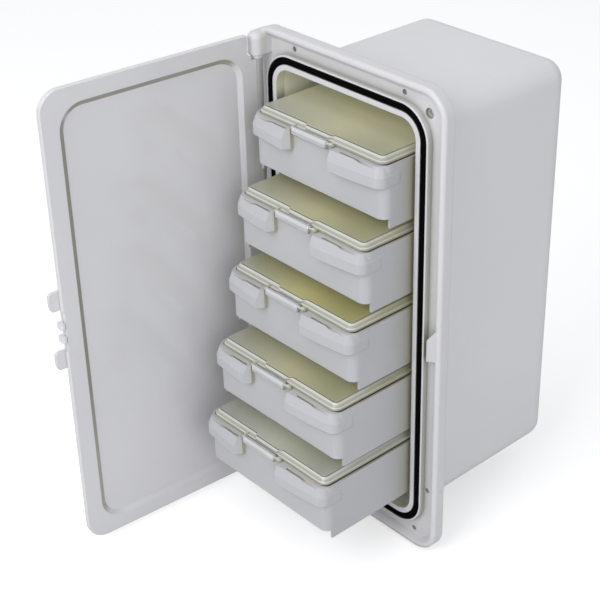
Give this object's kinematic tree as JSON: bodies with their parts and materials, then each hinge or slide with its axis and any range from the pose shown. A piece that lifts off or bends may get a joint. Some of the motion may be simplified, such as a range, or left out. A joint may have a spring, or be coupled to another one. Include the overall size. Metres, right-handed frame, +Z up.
{
  "type": "plastic drawer unit",
  "caption": "Flush-mounted plastic drawer unit: deep housing with a flanged front frame, a hinged door with seal and latch, and staggered lidded drawer trays on side runners.",
  "frame": {"origin": "centre of the panel cut-out, in the plane of the front frame's back face, which lies on the panel", "axes": "+X to the unit's right seen from the front, +Y into the housing, +Z up"},
  "size_m": [0.2265, 0.3887, 0.427],
  "materials": {
    "white_shell": "satin",
    "white_door": "satin",
    "white_drawer": "satin",
    "clear_lid": "gloss",
    "black_rubber": "matte",
    "steel_rod": "satin"
  },
  "bodies": {
    "case": {"housing": "white_shell", "front_frame": "white_shell", "door_seal": "black_rubber", "hinge_pin_top": "white_shell", "hinge_pin_bottom": "white_shell", "runner_left_1": "white_shell", "runner_right_1": "white_shell", "runner_left_2": "white_shell", "runner_right_2": "white_shell", "runner_left_3": "white_shell", "runner_right_3": "white_shell", "runner_left_4": "white_shell", "runner_right_4": "white_shell", "runner_left_5": "white_shell", "runner_right_5": "white_shell"},
    "door": {"door": "white_door"},
    "door_latch": {"door_latch": "white_door"},
    "drawer_1": {"drawer_tray_1": "white_drawer", "lid_rod_1": "steel_rod", "drawer_divider_1": "white_drawer"},
    "lid_1": {"drawer_lid_1": "clear_lid"},
    "lid_latch_1": {"lid_latch_1": "clear_lid"},
    "drawer_2": {"drawer_tray_2": "white_drawer", "lid_rod_2": "steel_rod", "drawer_divider_2": "white_drawer"},
    "lid_2": {"drawer_lid_2": "clear_lid"},
    "lid_latch_2": {"lid_latch_2": "clear_lid"},
    "drawer_3": {"drawer_tray_3": "white_drawer", "lid_rod_3": "steel_rod", "drawer_divider_3": "white_drawer"},
    "lid_3": {"drawer_lid_3": "clear_lid"},
    "lid_latch_3": {"lid_latch_3": "clear_lid"},
    "drawer_4": {"drawer_tray_4": "white_drawer", "lid_rod_4": "steel_rod", "drawer_divider_4": "white_drawer"},
    "lid_4": {"drawer_lid_4": "clear_lid"},
    "lid_latch_4": {"lid_latch_4": "clear_lid"},
    "drawer_5": {"drawer_tray_5": "white_drawer", "lid_rod_5": "steel_rod", "drawer_divider_5": "white_drawer"},
    "lid_5": {"drawer_lid_5": "clear_lid"},
    "lid_latch_5": {"lid_latch_5": "clear_lid"}
  },
  "joints": [
    {"name": "door_hinge", "type": "hinge", "parent": "case", "child": "door", "pos_m": [-0.0969, -0.0146, 0], "axis": [0, 0, -1], "range_deg": [-15, 86]},
    {"name": "door_latch_pivot", "type": "hinge", "parent": "door", "child": "door_latch", "pos_m": [-0.11384, -0.20087, 0.0054], "axis": [0, 0, -1], "range_deg": [0, 25]},
    {"name": "drawer_slide_1", "type": "slide", "parent": "case", "child": "drawer_1", "axis": [0, -1, 0], "range_m": [-0.0384, 0.0726]},
    {"name": "lid_hinge_1", "type": "hinge", "parent": "drawer_1", "child": "lid_1", "pos_m": [0.0004, 0.1101, 0.1569], "axis": [-1, 0, 0], "range_deg": [0, 6]},
    {"name": "lid_latch_pivot_1", "type": "hinge", "parent": "lid_1", "child": "lid_latch_1", "pos_m": [0.0004, -0.0406, 0.1551], "axis": [-1, 0, 0], "range_deg": [0, 40]},
    {"name": "drawer_slide_2", "type": "slide", "parent": "case", "child": "drawer_2", "axis": [0, -1, 0], "range_m": [-0.0579, 0.0531]},
    {"name": "lid_hinge_2", "type": "hinge", "parent": "drawer_2", "child": "lid_2", "pos_m": [0.0004, 0.0906, 0.091], "axis": [-1, 0, 0], "range_deg": [0, 3]},
    {"name": "lid_latch_pivot_2", "type": "hinge", "parent": "lid_2", "child": "lid_latch_2", "pos_m": [0.0004, -0.0601, 0.0892], "axis": [-1, 0, 0], "range_deg": [0, 40]},
    {"name": "drawer_slide_3", "type": "slide", "parent": "case", "child": "drawer_3", "axis": [0, -1, 0], "range_m": [-0.0711, 0.0399]},
    {"name": "lid_hinge_3", "type": "hinge", "parent": "drawer_3", "child": "lid_3", "pos_m": [0.0004, 0.0774, 0.0251], "axis": [-1, 0, 0], "range_deg": [0, 3]},
    {"name": "lid_latch_pivot_3", "type": "hinge", "parent": "lid_3", "child": "lid_latch_3", "pos_m": [0.0004, -0.0733, 0.0233], "axis": [-1, 0, 0], "range_deg": [0, 40]},
    {"name": "drawer_slide_4", "type": "slide", "parent": "case", "child": "drawer_4", "axis": [0, -1, 0], "range_m": [-0.0886, 0.0224]},
    {"name": "lid_hinge_4", "type": "hinge", "parent": "drawer_4", "child": "lid_4", "pos_m": [0.0004, 0.0599, -0.0408], "axis": [-1, 0, 0], "range_deg": [0, 3]},
    {"name": "lid_latch_pivot_4", "type": "hinge", "parent": "lid_4", "child": "lid_latch_4", "pos_m": [0.0004, -0.0908, -0.0426], "axis": [-1, 0, 0], "range_deg": [0, 40]},
    {"name": "drawer_slide_5", "type": "slide", "parent": "case", "child": "drawer_5", "axis": [0, -1, 0], "range_m": [-0.102, 0.009]},
    {"name": "lid_hinge_5", "type": "hinge", "parent": "drawer_5", "child": "lid_5", "pos_m": [0.0004, 0.0465, -0.1067], "axis": [-1, 0, 0], "range_deg": [0, 3]},
    {"name": "lid_latch_pivot_5", "type": "hinge", "parent": "lid_5", "child": "lid_latch_5", "pos_m": [0.0004, -0.1042, -0.1085], "axis": [-1, 0, 0], "range_deg": [0, 40]}
  ]
}
